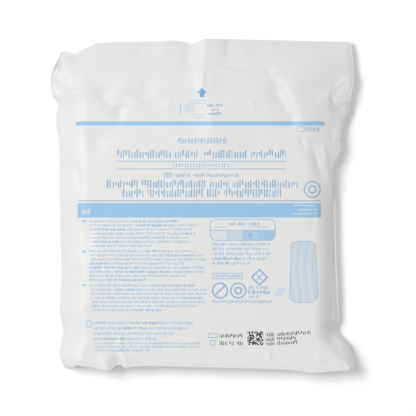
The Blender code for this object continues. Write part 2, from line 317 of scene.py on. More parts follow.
# The back web: plain white polyethylene film, fused to the front web in a seal band all round. It rests
# flat under the folded gown and rises round its edges to the seam, which lies clear of the table.

# The outline seen from above, side by side: how far out it reaches at places along the side. Here, and in
# the creases, the places were read off the photo.
EdgePoint = namedtuple("EdgePoint", "along out")
LEFT_EDGE = (
    EdgePoint(-136.6, -118.7),
    EdgePoint(-131.9, -120.9),
    EdgePoint(-125.1, -122.7),
    EdgePoint(-117.5, -121.3),
    EdgePoint(-102.6, -119.6),
    EdgePoint(-94.5, -121.5),
    EdgePoint(-87.7, -122.7),
    EdgePoint(-79.2, -122.0),
    EdgePoint(-53.7, -121.1),
    EdgePoint(-25.7, -121.8),
    EdgePoint(33.8, -123.0),
    EdgePoint(56.8, -123.3),
    EdgePoint(67.0, -124.9),
    EdgePoint(74.8, -125.8),
    EdgePoint(86.5, -123.4),
    EdgePoint(90.8, -126.0),
    EdgePoint(95.9, -129.4),
    EdgePoint(109.9, -129.6),
    EdgePoint(116.3, -127.0),
    EdgePoint(124.8, -123.3),
    EdgePoint(131.2, -120.6),
)
RIGHT_EDGE = (
    EdgePoint(-139.7, 128.3),
    EdgePoint(-136.2, 130.1),
    EdgePoint(-126.1, 127.1),
    EdgePoint(-118.3, 124.7),
    EdgePoint(-110.3, 116.2),
    EdgePoint(-103.9, 112.0),
    EdgePoint(-100.5, 112.2),
    EdgePoint(-96.8, 114.4),
    EdgePoint(-89.4, 114.4),
    EdgePoint(-68.7, 113.6),
    EdgePoint(-34.9, 112.0),
    EdgePoint(14.3, 111.2),
    EdgePoint(29.6, 110.9),
    EdgePoint(35.5, 112.8),
    EdgePoint(42.3, 116.4),
    EdgePoint(48.3, 119.0),
    EdgePoint(56.8, 117.9),
    EdgePoint(65.3, 118.6),
    EdgePoint(71.7, 120.4),
    EdgePoint(82.3, 124.9),
    EdgePoint(92.9, 124.5),
    EdgePoint(104.6, 127.3),
    EdgePoint(111.2, 127.7),
    EdgePoint(129.0, 126.4),
    EdgePoint(139.4, 124.6),
)
NEAR_EDGE = (
    EdgePoint(-118.7, -136.6),
    EdgePoint(-111.1, -137.2),
    EdgePoint(-108.0, -135.0),
    EdgePoint(-96.6, -136.7),
    EdgePoint(-85.6, -139.2),
    EdgePoint(-79.6, -140.3),
    EdgePoint(-74.5, -135.3),
    EdgePoint(-70.7, -134.5),
    EdgePoint(-67.6, -137.2),
    EdgePoint(-49.0, -135.7),
    EdgePoint(-22.3, -136.6),
    EdgePoint(37.7, -138.0),
    EdgePoint(71.7, -139.1),
    EdgePoint(91.6, -142.1),
    EdgePoint(110.8, -140.2),
    EdgePoint(128.3, -139.7),
)
FAR_EDGE = (
    EdgePoint(-120.6, 131.3),
    EdgePoint(-115.3, 131.1),
    EdgePoint(-108.3, 129.2),
    EdgePoint(-103.4, 132.8),
    EdgePoint(-97.5, 134.8),
    EdgePoint(-92.4, 138.2),
    EdgePoint(-79.6, 139.0),
    EdgePoint(-41.4, 140.0),
    EdgePoint(-23.5, 140.5),
    EdgePoint(-13.8, 138.4),
    EdgePoint(-8.4, 138.0),
    EdgePoint(1.1, 141.9),
    EdgePoint(30.9, 141.4),
    EdgePoint(94.6, 140.1),
    EdgePoint(125.6, 139.4),
)
EDGE_SOFTNESS = 1.2

# How wide the seal shows as a flat rim beside each edge. On the right it changes along the pack.
LEFT_RIM = 1.5
RIGHT_RIM = (
    EdgePoint(-103.0, 0.5),
    EdgePoint(-96.0, 1.2),
    EdgePoint(-20.0, 2.0),
    EdgePoint(0.0, 1.6),
    EdgePoint(20.0, 0.4),
    EdgePoint(100.0, 0.4),
)
NEAR_RIM = 0.1
FAR_RIM = 1.0
STEP_RUN = 3.0

# The film's wall, which thins towards its cut edge, and how far the webs part just inside the seam
FILM = 1.0
RIM_FILM = 0.22
RIM_RUN = 5.0
SEAM_GAP = 0.3
STEEPEST = 3.0

# Where the back web lies flat on the table: its left and right sides at places along the pack, how far in
# from the near rim it begins, and its far side
REST_LEFT = (EdgePoint(0.0, -108.0),)
REST_RIGHT = (EdgePoint(-80.0, 98.0), EdgePoint(60.0, 98.0), EdgePoint(100.0, 92.0))
REST_NEAR = (EdgePoint(0.0, 10.0),)
REST_FAR = 106.0

# How high the seam lies, at the left, middle and right of each row along the pack
SeamRow = namedtuple("SeamRow", "along left middle right")
SEAM = (
    SeamRow(-142.0, 2.6, 2.6, 3.4),
    SeamRow(-125.0, 4.5, 4.0, 5.5),
    SeamRow(-110.0, 7.0, 6.0, 9.5),
    SeamRow(-60.0, 8.0, 8.0, 11.5),
    SeamRow(0.0, 9.0, 9.0, 11.5),
    SeamRow(60.0, 10.0, 10.0, 10.0),
    SeamRow(80.0, 12.0, 12.0, 8.5),
    SeamRow(95.0, 16.0, 14.5, 9.0),
    SeamRow(112.0, 19.0, 16.5, 10.0),
    SeamRow(133.0, 18.5, 19.5, 9.0),
    SeamRow(142.0, 16.0, 20.0, 8.0),
)

# Creases: ridges and troughs along a bow from x0, y0 by x1, y1 to x2, y2, with their width on the right
# and left hand as one walks along, and their height at the start, in the middle and at the end
Crease = namedtuple("Crease", "x0 y0 x1 y1 x2 y2 right left start middle end")
CREASES = (
    # The pleat in the middle of the header: steep on its left, running out slowly on its right
    Crease(1.5, 142.4, 1.4, 129.2, -2.3, 90.5, 8.5, 22.0, 4.4, 2.6, 0.0),
    Crease(-1.6, 119.4, -0.6, 103.7, -2.3, 89.7, 2.4, 8.0, 0.9, 1.5, 0.0),
    Crease(-14.2, 141.5, -13.3, 128.8, -5.7, 99.0, 7.0, 5.0, -1.3, -1.2, 0.0),
    Crease(0.7, 119.4, 2.0, 106.7, 3.2, 97.3, 1.8, 3.5, 0.0, -0.8, 0.0),
    # Folds across the header
    Crease(21.3, 142.4, 17.8, 132.6, 20.7, 117.7, 3.0, 5.5, -1.3, -1.1, 0.0),
    Crease(33.4, 138.1, 35.3, 127.1, 39.8, 112.6, 8.0, 7.0, 0.5, 0.9, 0.0),
    Crease(56.4, 139.8, 54.7, 132.2, 53.0, 121.1, 5.0, 6.0, 0.4, 0.5, 0.0),
    Crease(-70.3, 139.8, -67.3, 129.6, -72.8, 119.4, 8.0, 6.0, 0.3, 0.5, 0.0),
    Crease(-54.1, 139.8, -52.0, 130.5, -55.0, 117.7, 6.0, 6.0, -0.5, -0.5, 0.0),
    Crease(-34.6, 139.8, -34.6, 129.6, -31.2, 119.4, 6.0, 5.0, 0.5, 0.4, 0.0),
    # The gown's far edge, and the fold that runs from its corner down to the band
    Crease(3.7, 121.1, 25.8, 116.5, 54.7, 113.5, 2.2, 3.0, 0.0, -1.3, -0.7),
    Crease(54.7, 113.5, 79.7, 115.8, 113.3, 103.7, 2.6, 3.0, -0.5, -0.7, 0.0),
    Crease(56.4, 110.9, 60.8, 99.0, 74.6, 73.5, 8.0, 5.5, -0.8, -2.9, -2.0),
    Crease(70.0, 105.8, 76.3, 98.6, 84.4, 76.1, 6.0, 12.0, 0.3, 1.2, 0.3),
    Crease(39.4, 92.2, 43.6, 86.7, 41.1, 79.5, 2.6, 3.0, 0.0, 0.6, 0.0),
    # Far left: the gown's other corner, its hollow and the humps beside it
    Crease(-87.7, 104.1, -90.9, 92.2, -71.1, 82.0, 4.5, 8.0, 0.0, -1.5, -0.8),
    Crease(-79.6, 105.8, -74.5, 94.8, -55.8, 87.1, 6.0, 12.0, 0.0, 0.6, 0.0),
    Crease(-74.5, 86.3, -68.8, 81.6, -70.7, 71.8, 7.0, 3.0, 0.0, -1.4, -0.4),
    Crease(-66.0, 96.5, -53.3, 93.9, -43.9, 89.7, 3.0, 2.6, 0.0, -0.9, 0.0),
    Crease(-50.7, 109.2, -49.5, 101.1, -44.8, 91.4, 3.4, 7.0, 0.0, -0.6, -0.4),
    Crease(-39.7, 105.8, -40.1, 98.6, -33.7, 89.7, 6.0, 10.0, 0.0, 0.2, 0.0),
    Crease(-67.7, 89.7, -60.1, 85.0, -42.2, 85.4, 3.0, 4.5, 0.0, 0.9, 0.0),
    Crease(-26.9, 92.2, -32.9, 85.8, -28.6, 77.8, 4.0, 4.0, 0.0, 0.5, 0.0),
    # A broad swell in the middle of the flat, and small dints
    Crease(2.0, 93.9, 9.6, 74.4, 10.5, 24.2, 12.0, 30.0, 0.5, 2.0, 0.0),
    Crease(-43.9, -38.7, -24.8, -42.1, -27.8, -65.9, 9.0, 6.0, 0.0, -0.5, 0.0),
    Crease(27.5, -89.7, 38.5, -99.0, 66.6, -91.4, 7.0, 7.0, 0.0, 0.5, 0.0),
    # The left shoulder
    Crease(-91.5, 70.1, -93.2, 58.2, -84.7, 39.5, 9.0, 14.0, 0.0, -1.3, 0.0),
    Crease(-107.7, 39.5, -107.5, 28.5, -101.3, 7.2, 3.0, 2.6, 0.0, -1.3, 0.0),
    Crease(-99.2, -4.7, -93.7, -22.5, -100.0, -64.2, 7.5, 3.5, 0.0, -1.0, 0.0),
    Crease(-110.2, -76.1, -100.9, -85.4, -108.5, -105.0, 4.0, 4.0, 0.0, 0.7, 0.0),
    # The ear at the far left corner, where the header is turned in
    Crease(-112.8, 128.8, -117.9, 115.6, -117.9, 104.1, 2.0, 13.0, 0.4, 1.6, 1.4),
    Crease(-117.9, 104.1, -123.4, 95.6, -103.4, 73.5, 2.0, 13.0, 1.4, 0.9, 0.0),
    Crease(-124.7, 127.1, -127.0, 119.4, -130.2, 110.1, 1.5, 4.3, 2.6, 7.2, 2.8),
    Crease(-121.3, 126.6, -117.5, 127.1, -111.9, 127.5, 2.2, 1.4, 0.0, -0.9, -0.4),
    Crease(-128.1, 110.1, -122.6, 104.1, -118.7, 91.4, 2.8, 1.8, 0.0, -3.0, 0.0),
    Crease(-120.9, 124.5, -119.6, 118.1, -123.4, 110.1, 1.6, 2.2, 0.0, -1.0, 0.0),
    # Far right: the fold across the header's corner, and the pocket below it
    Crease(113.3, 102.8, 118.8, 108.6, 129.5, 108.4, 3.5, 2.0, 0.6, 1.3, 1.0),
    Crease(107.4, 99.9, 103.1, 96.0, 107.4, 76.9, 7.0, 1.5, 0.3, 1.7, 0.3),
    Crease(108.6, 93.5, 112.7, 87.3, 126.1, 88.8, 1.5, 4.5, 0.8, 2.4, 1.6),
    Crease(109.9, 87.1, 113.7, 80.8, 122.7, 82.9, 3.2, 2.6, -0.8, -1.6, -0.8),
    Crease(112.5, 99.0, 115.4, 95.2, 123.5, 94.8, 2.0, 3.0, 0.0, 0.9, 0.0),
    Crease(92.1, 80.3, 101.4, 92.6, 107.4, 96.5, 3.0, 4.0, 0.0, 0.6, 0.5),
    Crease(126.1, 116.0, 130.3, 105.8, 121.0, 75.2, 9.5, 3.0, 0.0, 5.6, 0.8),
    # The right shoulder and wall
    Crease(109.1, 56.1, 112.9, 53.5, 118.4, 56.1, 1.4, 1.4, 0.0, -1.6, -0.6),
    Crease(81.0, 61.6, 81.4, 53.1, 88.7, 44.6, 1.8, 1.8, 0.0, -1.0, 0.0),
    Crease(85.3, 61.6, 84.8, 54.0, 91.2, 46.3, 1.8, 2.2, 0.0, 0.4, 0.0),
    Crease(93.8, 53.1, 92.1, 40.4, 104.0, 17.4, 4.0, 1.8, 0.0, -2.4, 0.0),
    Crease(99.7, 58.2, 101.4, 45.5, 106.5, 15.7, 1.6, 2.6, 0.0, 1.5, 0.0),
    Crease(106.5, 70.1, 110.8, 60.8, 106.5, 48.0, 3.0, 3.0, 0.0, -0.8, 0.0),
    Crease(99.7, 5.5, 104.0, -28.5, 101.4, -79.5, 3.0, 4.0, 0.0, 1.2, 0.0),
    Crease(109.9, -20.0, 110.3, -57.4, 107.4, -98.2, 3.0, 2.4, -0.4, -1.4, -2.0),
    Crease(92.1, 1.3, 94.2, -10.2, 91.2, -26.8, 3.0, 2.0, 0.0, -0.8, 0.0),
    # The flared corner, near and right
    Crease(103.1, -94.8, 106.1, -108.4, 117.6, -108.4, 2.4, 2.6, 0.0, -3.0, -1.2),
    Crease(108.2, -94.8, 105.2, -113.0, 114.2, -122.8, 6.5, 6.0, 0.0, -2.8, -0.4),
    Crease(113.3, -106.7, 114.6, -116.9, 124.4, -127.1, 2.4, 3.0, 0.0, 0.7, 0.0),
    Crease(114.2, -111.8, 119.7, -119.0, 123.5, -131.3, 2.2, 3.0, 0.0, -0.6, 0.0),
    Crease(108.2, -116.9, 114.2, -123.7, 120.1, -137.3, 2.4, 2.4, 0.0, -0.6, -0.3),
    Crease(55.1, -121.1, 53.2, -126.6, 57.2, -133.9, 1.6, 2.6, 0.0, 0.6, 0.0),
    Crease(92.1, -125.4, 94.6, -130.0, 107.4, -129.6, 2.6, 2.8, 0.0, 0.6, 0.0),
    # The pleat in the near edge, and the near left corner
    Crease(-75.0, -122.0, -70.7, -130.0, -69.9, -139.8, 7.0, 1.5, 0.0, -2.8, -4.2),
    Crease(-85.6, -124.5, -82.8, -130.5, -80.9, -139.8, 4.5, 4.0, 0.0, 1.0, 1.8),
    Crease(-70.7, -123.7, -67.5, -130.0, -65.2, -138.1, 1.6, 5.0, 0.0, 1.8, 2.2),
    Crease(-77.9, -105.0, -76.9, -114.8, -75.0, -122.8, 3.0, 2.0, 0.0, -0.7, -0.4),
    Crease(-72.0, -104.1, -69.9, -114.8, -69.4, -123.7, 2.0, 3.0, 0.0, 0.6, 0.4),
    Crease(-117.0, -133.9, -108.5, -124.5, -106.8, -111.8, 5.0, 5.0, 0.6, 1.2, 0.0),
    Crease(-122.1, -103.3, -118.7, -104.5, -108.5, -107.5, 5.0, 5.0, -1.0, -0.8, 0.0),
)
BOW_STEPS = 8
CREASE_REACH = 3
CREASE_FALL = 1.6

HALF_WIDTH, HALF_LENGTH = 125.0, 138.0
FITTING_ROUNDS = 8
CROWDING = 0.055
BACK_CELLS = (130, 144)


def edge_at(table, along):
    """The outline's reach at places along one side, its corners softened a little."""
    places = [row.along for row in table]
    reaches = [row.out for row in table]
    shifts = (-EDGE_SOFTNESS, 0.0, EDGE_SOFTNESS)
    return sum(np.interp(along + shift, places, reaches) for shift in shifts) / len(shifts)


def footprint(cells):
    """Where a grid's points lie from above, fitted between the four edges and closer together near them."""
    shares = [np.linspace(0.0, 1.0, count + 1) for count in cells]
    shares = [share - CROWDING * np.sin(2 * np.pi * share) for share in shares]
    across, along = np.meshgrid(*shares, indexing="ij")
    x = -HALF_WIDTH + 2 * HALF_WIDTH * across
    y = -HALF_LENGTH + 2 * HALF_LENGTH * along
    for _ in range(FITTING_ROUNDS):
        left, right = edge_at(LEFT_EDGE, y), edge_at(RIGHT_EDGE, y)
        x = left + (right - left) * across
        near, far = edge_at(NEAR_EDGE, x), edge_at(FAR_EDGE, x)
        y = near + (far - near) * along
    return x, y


def smooth(share):
    """0 up to 0, 1 from 1 on, and an even slope without corners between."""
    share = np.clip(share, 0.0, 1.0)
    return share * share * (3 - 2 * share)


def rounded_rise(outside, inside, place, step=0.0):
    """0 at the rim, up by a step at once, then rising and rounding off to 1 on the flat."""
    share = np.clip((place - outside) / (inside - outside), 0.0, 1.0)
    at_once = smooth(np.abs(place - outside) / STEP_RUN * (share > 0))
    return step * at_once + (1 - step) * np.sin(share * np.pi / 2)


def fullness(x, y, left, right, near, far, steps=(0.0, 0.0)):
    """From 0 at the rims to 1 over the flat of one web."""
    near_rim = edge_at(NEAR_EDGE, x) + NEAR_RIM
    return (
        rounded_rise(edge_at(LEFT_EDGE, y) + LEFT_RIM, edge_at(left, y), x, steps[0])
        * rounded_rise(edge_at(RIGHT_EDGE, y) - edge_at(RIGHT_RIM, y), edge_at(right, y), x, steps[1])
        * rounded_rise(near_rim, near_rim + edge_at(near, x), y)
        * rounded_rise(edge_at(FAR_EDGE, x) - FAR_RIM, far, y)
    )


def seam_height(x, y):
    """How high the seam would lie at each point, drawn in from the table of its rows."""
    rows = [row.along for row in SEAM]
    left, middle, right = (np.interp(y, rows, [row[k] for row in SEAM]) for k in (1, 2, 3))
    share = np.clip(np.abs(x) / HALF_WIDTH, 0.0, 1.0)
    return middle + np.where(x < 0, (left - middle) * share**2, (right - middle) * share)


def crease_height(crease, x, y):
    """How much one crease lifts the film at each point."""
    steps = np.linspace(0.0, 1.0, BOW_STEPS + 1)
    line_x = (1 - steps) ** 2 * crease.x0 + 2 * steps * (1 - steps) * crease.x1 + steps**2 * crease.x2
    line_y = (1 - steps) ** 2 * crease.y0 + 2 * steps * (1 - steps) * crease.y1 + steps**2 * crease.y2
    lift = np.zeros(np.shape(x))
    margin = CREASE_REACH * max(crease.left, crease.right)
    near = (x > line_x.min() - margin) & (x < line_x.max() + margin)
    near &= (y > line_y.min() - margin) & (y < line_y.max() + margin)
    x, y = x[near], y[near]
    nearest = np.full(x.shape, np.inf)
    share = np.zeros(x.shape)
    width = np.ones(x.shape)
    for k in range(BOW_STEPS):
        run_x, run_y = line_x[k + 1] - line_x[k], line_y[k + 1] - line_y[k]
        off_x, off_y = x - line_x[k], y - line_y[k]
        part = np.clip((off_x * run_x + off_y * run_y) / (run_x**2 + run_y**2), 0.0, 1.0)
        away = np.hypot(off_x - part * run_x, off_y - part * run_y)
        on_left = off_y * run_x > off_x * run_y
        closer = away < nearest
        share = np.where(closer, (k + part) / BOW_STEPS, share)
        width = np.where(closer, np.where(on_left, crease.left, crease.right), width)
        nearest = np.minimum(nearest, away)
    height = crease.start + (crease.middle - crease.start) * smooth(share * 2)
    height = height + (crease.end - crease.middle) * smooth(share * 2 - 1)
    lift[near] = height * np.exp(-((nearest / width) ** CREASE_FALL))
    return lift


def creases(x, y):
    """How much all creases together lift the film at each point."""
    return sum(crease_height(crease, x, y) for crease in CREASES)


def from_rim(x, y):
    """How far in from the film's cut edge each point lies."""
    sides = (
        x - edge_at(LEFT_EDGE, y),
        edge_at(RIGHT_EDGE, y) - x,
        y - edge_at(NEAR_EDGE, x),
        edge_at(FAR_EDGE, x) - y,
    )
    return np.maximum(np.minimum.reduce(sides), 0.0)


def opened(x, y):
    """0 at the cut edge, where the two webs are fused, and 1 from a few millimetres in."""
    return smooth(from_rim(x, y) / RIM_RUN)


def film_thickness(x, y):
    """The film's wall at each point: thinnest at the cut edge."""
    return RIM_FILM + (FILM - RIM_FILM) * opened(x, y)


def back_inner(x, y):
    """How high the back web's inner face lies."""
    seam = seam_height(x, y) - SEAM_GAP / 2 * opened(x, y)
    rest = fullness(x, y, REST_LEFT, REST_RIGHT, REST_NEAR, REST_FAR)
    return seam + (FILM - seam) * rest + creases(x, y) * (1 - rest)


def lifted(points, thickness):
    """A grid of points moved straight up, further on slopes, so that the film between keeps its thickness."""
    normals = np.cross(np.gradient(points, axis=0), np.gradient(points, axis=1))
    steepness = np.linalg.norm(normals, axis=2) / normals[:, :, 2]
    moved = points.copy()
    moved[:, :, 2] += thickness * np.minimum(steepness, STEEPEST)
    return moved


def film_shell(name, under, over):
    """A closed shell of film between two grids of points."""
    columns, rows = under.shape[:2]
    count = columns * rows
    faces = []
    for i in range(columns - 1):
        for j in range(rows - 1):
            a, b = i * rows + j, (i + 1) * rows + j
            faces.append((a, a + 1, b + 1, b))
            faces.append((count + a, count + b, count + b + 1, count + a + 1))
    loop = [(i, 0) for i in range(columns - 1)]
    loop += [(columns - 1, j) for j in range(rows - 1)]
    loop += [(i, rows - 1) for i in range(columns - 1, 0, -1)]
    loop += [(0, j) for j in range(rows - 1, 0, -1)]
    rim = [i * rows + j for i, j in loop]
    for a, b in zip(rim, rim[1:] + rim[:1]):
        faces.append((a, b, count + b, count + a))
    points = np.concatenate([under.reshape(-1, 3), over.reshape(-1, 3)]) * MM
    thing = make_object(name, points.tolist(), faces)
    thing.data.set_sharp_from_angle(angle=1.3)
    return thing


def film_grain(finish, place):
    """The faint relief of thin blown film: soft clouding, with fine crinkles where it was gathered."""
    cloudy = finish.noise(place, 55.0, 3.0, 0.55)
    crinkled = finish.noise(place, 260.0, 4.0, 0.6)
    fine = finish.noise(place, 1400.0, 2.0, 0.5)
    return cloudy, cloudy * 0.9 + crinkled * 0.32 + fine * 0.05


def plain_film():
    finish = Finish("back_film", IOR=1.5, Specular_IOR_Level=0.35)
    place = finish.node("ShaderNodeTexCoord", {}, {}, "Object")
    cloudy, relief = film_grain(finish, place)
    finish.feed(
        Base_Color=finish.blend((0.70, 0.705, 0.70, 1.0), (0.75, 0.755, 0.75, 1.0), cloudy),
        Roughness=cloudy * 0.12 + 0.40,
        Normal=finish.raise_by(relief, 0.0005),
    )
    return finish.material


x, y = footprint(BACK_CELLS)
inside = np.stack([x, y, back_inner(x, y)], axis=2)
underside = lifted(inside, -film_thickness(x, y))
underside[:, :, 2] = np.maximum(underside[:, :, 2], 0.0)
back_web = film_shell("back_web_of_film", underside, inside)
back_web.data.materials.append(plain_film())
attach(back_web, "root")
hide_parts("back_web")


# The front web: white polyethylene film printed in pale blue, drawn down over the folded gown and fused to
# the back web all round. It has more length than it needs, so it is pleated at the header and creased where
# the gown's corners push it up. The print is laid on it as it looks from straight above.

TOP_HEIGHT = 28.0
# The film bulges a little more in the middle of the flat, by the crown, which fades out towards these reaches
CROWN = 2.2
CROWN_MIDDLE_X = -15.0
CROWN_REACH_X, CROWN_REACH_Y = 110.0, 120.0
# Where the front web is at its full height: how far in from the near rim that begins, its far side, and its
# left and right sides at places along the pack
TOP_NEAR = (EdgePoint(0.0, 1.1),)
TOP_FAR = 104.0
TOP_LEFT = (
    EdgePoint(-130.0, -102.0),
    EdgePoint(-110.0, -97.0),
    EdgePoint(106.0, -97.0),
)
TOP_RIGHT = (
    EdgePoint(-136.0, 122.0),
    EdgePoint(-131.0, 116.0),
    EdgePoint(-127.0, 111.5),
    EdgePoint(-122.0, 102.5),
    EdgePoint(-118.0, 98.0),
    EdgePoint(-114.0, 95.0),
    EdgePoint(-106.0, 93.0),
    EdgePoint(-60.0, 94.0),
    EdgePoint(-5.0, 92.0),
    EdgePoint(12.0, 87.0),
    EdgePoint(30.0, 83.0),
    EdgePoint(50.0, 80.0),
    EdgePoint(74.0, 82.0),
    EdgePoint(86.0, 77.0),
    EdgePoint(98.0, 67.0),
    EdgePoint(120.0, 62.0),
)
# The share of the rise that the film makes at once, close beside its rim
LEFT_STEP = (EdgePoint(60.0, 0.42), EdgePoint(85.0, 0.2))
RIGHT_STEP = (
    EdgePoint(-124.0, 0.4),
    EdgePoint(-114.0, 0.2),
    EdgePoint(-104.0, 0.0),
    EdgePoint(0.0, 0.0),
    EdgePoint(20.0, 0.3),
    EdgePoint(60.0, 0.3),
    EdgePoint(80.0, 0.0),
)
FRONT_CELLS = (208, 232)


def front_inner(x, y):
    """How high the front web's inner face lies."""
    seam = seam_height(x, y) + SEAM_GAP / 2 * opened(x, y)
    crown = CROWN * np.clip(1 - ((x - CROWN_MIDDLE_X) / CROWN_REACH_X) ** 2, 0, 1)
    crown = crown * np.clip(1 - (y / CROWN_REACH_Y) ** 2, 0, 1)
    steps = (edge_at(LEFT_STEP, y), edge_at(RIGHT_STEP, y))
    rise = fullness(x, y, TOP_LEFT, TOP_RIGHT, TOP_NEAR, TOP_FAR, steps)
    return seam + (TOP_HEIGHT + crown - seam) * rise + creases(x, y)


def give_map(thing, x, y):
    """Stores where each point lies, seen from above, as the piece's own UV map in metres."""
    layer = thing.data.uv_layers.new(name="flat_film")
    corners = np.empty(len(thing.data.loops), dtype=np.int32)
    thing.data.loops.foreach_get("vertex_index", corners)
    pairs = np.stack([x, y], axis=1)[corners] * MM
    layer.data.foreach_set("uv", pairs.astype(np.float32).ravel())


def give_depth(thing, depth):
    """Stores how far in from the header's cut edge each point lies, in millimetres."""
    layer = thing.data.attributes.new("header_depth", "FLOAT", "POINT")
    layer.data.foreach_set("value", depth.astype(np.float32))


# The print's places are those that it seems to have at the height of the table. The top of the pack lies
# nearer to the camera and looks larger by this scale, so the print on it is that much smaller.
PRINT_SCALE = 1.007
Bar = namedtuple("Bar", "left right low high")
BANDS = (Bar(-108.4, 102.8, 68.8, 72.3), Bar(-107.1, 99.7, -9.4, 2.8))
RULES = (
    Bar(-74.1, 69.8, 38.1, 38.7),
    Bar(-74.1, 69.8, 31.6, 32.2),
    Bar(-107.1, 99.7, 4.3, 5.2),
    Bar(5.4, 60.9, -20.5, -20.0),
    Bar(8.0, 20.0, -17.7, -17.2),
    Bar(38.0, 54.0, -17.7, -17.2),
    Bar(-20.0, -19.3, 78.0, 87.0),
)
# A line of print: its foot and head, and where its words begin and end
Line = namedtuple("Line", "low high words")
HEADINGS = (
    Line(41.1, 47.9, ((-73.7, -27.8), (-25.2, -4.0), (-0.6, 36.8), (40.2, 69.8))),
    Line(15.8, 22.6, ((-83.1, -55.8), (-53.3, 2.0), (5.4, 21.5), (24.5, 80.2))),
    Line(8.0, 15.0, ((-69.9, -50.7), (-47.3, -0.6), (2.8, 13.9), (17.3, 66.6))),
)
SPACED_LINES = (Line(33.4, 36.6, ((-26.1, 22.6),)),)
SMALL_LINES = (
    Line(24.9, 28.2, ((-25.2, -11.6), (-9.1, 1.1), (2.8, 30.5))),
    Line(25.6, 27.6, ((-32.8, -28.0),)),
    Line(53.5, 58.5, ((-22.7, 19.8),)),
    Line(63.4, 67.8, ((87.0, 99.0),)),
    Line(-60.4, -57.7, ((8.8, 31.6),)),
    Line(-82.1, -79.5, ((7.1, 58.1),)),
    Line(-16.4, -13.0, ((21.0, 27.2), (29.0, 36.6), (38.4, 48.2))),
)
TINY_LINES = (
    Line(84.7, 87.2, ((2.8, 8.6), (10.0, 16.4))),
    Line(81.2, 83.7, ((6.2, 13.0),)),
    Line(77.7, 80.2, ((4.0, 15.2),)),
)
# Black lines, the second group of them running a little downhill
BLACK_LINES = (
    Line(-111.4, -108.2, ((13.6, 33.0),)),
    Line(-117.7, -114.6, ((13.6, 20.6), (21.8, 25.4), (27.6, 33.4))),
)
NUMBER_LINES = (
    Line(-110.8, -107.6, ((52.9, 60.0), (62.0, 90.7))),
    Line(-114.6, -111.6, ((52.9, 60.0), (62.0, 78.5))),
    Line(-118.2, -115.2, ((52.9, 60.0), (62.0, 79.9))),
)
NUMBER_TILT = 0.06
# White lines left open in the wide band
WHITE_LINES = (
    Line(-6.8, -1.7, ((-103.4, -95.8),)),
    Line(0.2, 1.8, ((76.0, 97.0),)),
    Line(-3.3, -1.7, ((80.0, 97.0),)),
    Line(-6.8, -5.2, ((74.5, 97.0),)),
)
# Lettering: the pitch of its strokes, and half the width of a thin one as a share of the pitch
Lettering = namedtuple("Lettering", "pitch weight")
HEADING_LETTERS = Lettering(2.3, 0.175)
SPACED_LETTERS = Lettering(2.4, 0.11)
SMALL_LETTERS = Lettering(1.25, 0.22)
TINY_LETTERS = Lettering(1.1, 0.3)
FIGURES = Lettering(1.45, 0.2)
# The square of random modules, the size of one, and how many of them stay white
MODULES = Bar(37.1, 50.6, -117.9, -106.2)
MODULE = 0.84
WHITE_MODULES = 0.46
# Blocks of small print: rows from the top down, with how many there are and how tall they are
Block = namedtuple("Block", "left right top pitch rows tall")
BLOCKS = (
    Block(-97.1, -4.5, -11.4, 3.49, 7, 2.1),
    Block(-97.3, 1.5, -36.9, 3.49, 8, 2.1),
    Block(-96.2, 2.5, -66.1, 3.49, 7, 2.1),
    Block(-93.6, -8.0, -97.8, 4.5, 4, 2.3),
    Block(-92.4, -1.0, -115.2, 3.0, 3, 2.0),
    Block(7.1, 57.0, -30.7, 4.05, 5, 2.6),
    Block(37.7, 56.4, -67.5, 3.7, 3, 3.1),
)
MARKS = (
    Bar(-103.4, -100.2, -13.2, -11.6),
    Bar(-103.4, -100.4, -39.0, -37.4),
    Bar(-103.0, -100.0, -67.6, -66.0),
)
FRAMES = (
    Bar(79.0, 85.7, 63.6, 68.0),
    Bar(-34.2, -26.7, 24.7, 28.4),
    Bar(7.3, 33.0, -61.7, -56.4),
    Bar(3.7, 12.2, -111.6, -107.8),
    Bar(5.6, 9.8, -117.9, -113.6),
    Bar(-99.8, -95.0, -102.4, -97.0),
)
Ring = namedtuple("Ring", "x y radius line")
BARRED_RING = Ring(13.9, -71.4, 6.3, 1.3)
RINGS = (
    Ring(92.3, 14.5, 6.7, 1.1),
    Ring(92.3, 14.5, 3.0, 1.1),
    BARRED_RING,
    Ring(29.4, -71.4, 6.3, 1.3),
    Ring(29.4, -71.4, 2.6, 1.6),
)
Spot = namedtuple("Spot", "x y")
LOZENGE = Spot(47.4, -60.2)
LOZENGE_REACH = 6.6
# A scale of four cells with the share of blue in each, in a rounded frame, and its two dots
SCALE_FRAME = Bar(5.2, 61.1, -29.0, -10.6)
SCALE_CORNER = 5.0
DARK_DOT = Ring(39.7, -24.5, 1.3, 1.2)
PALE_DOT = Ring(53.6, -24.5, 1.0, 1.4)
CELLS = (
    (Bar(5.9, 19.0, -28.5, -20.4), 0.13),
    (Bar(19.0, 32.6, -28.5, -20.4), 0.40),
    (Bar(32.6, 46.8, -28.5, -20.4), 0.73),
    (Bar(46.8, 60.4, -28.5, -20.4), 0.83),
)
ARROW = Spot(-1.4, 101.0)
ARROW_SHOULDER = 96.2
PARTING = Spot(-16.0, 82.8)
PARTING_SPREAD = 4.5
TOWEL = Spot(64.6, -72.6)
SWATCH = Bar(72.2, 97.6, -82.0, -29.2)
SWATCH_MIDDLE = Spot(84.9, -55.0)
SWATCH_CORNER = 8.0

# The header's peel seal is crimped in fine lines along its edge
HEADER_SEAL_WIDTH = 8.0
CRIMP_PITCH = 2.1
CRIMP_DEPTH = 0.08

FILM_WHITE = (0.745, 0.745, 0.735, 1.0)
FILM_CLOUD = (0.715, 0.715, 0.705, 1.0)
INK_BLUE = (0.272, 0.503, 0.735, 1.0)
INK_DEEP = (0.19, 0.40, 0.63, 1.0)
INK_TEXT = (0.235, 0.42, 0.61, 1.0)
INK_SOFT = (0.31, 0.485, 0.65, 1.0)
INK_BLACK = (0.02, 0.02, 0.021, 1.0)


